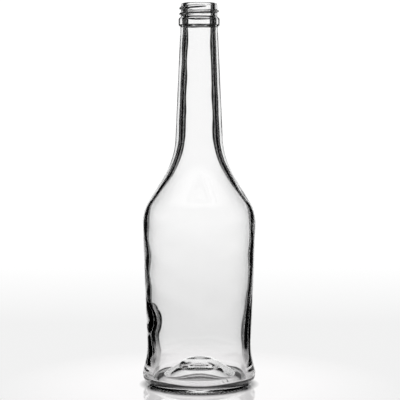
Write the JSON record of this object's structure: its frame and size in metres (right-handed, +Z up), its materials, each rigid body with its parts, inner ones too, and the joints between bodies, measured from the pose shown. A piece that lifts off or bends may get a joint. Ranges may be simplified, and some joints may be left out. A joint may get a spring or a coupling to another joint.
{
  "type": "bottle",
  "caption": "Clear glass screw-neck bottle with a long tapered neck, conical shoulder, waisted body, flared heel, knurled bearing ring and push-up base.",
  "frame": {"origin": "on the bottle's axis, in the plane of the bearing ring that it stands on", "axes": "+Z up along the axis towards the mouth; -Y faces the viewer of the picture and +X is to the right"},
  "size_m": [0.0788, 0.0788, 0.2656],
  "materials": {
    "clear_glass": "clear flint glass, fire-polished, with a faint grey tint where it is thick"
  },
  "bodies": {
    "root": {"bottle": "clear_glass"}
  },
  "joints": []
}
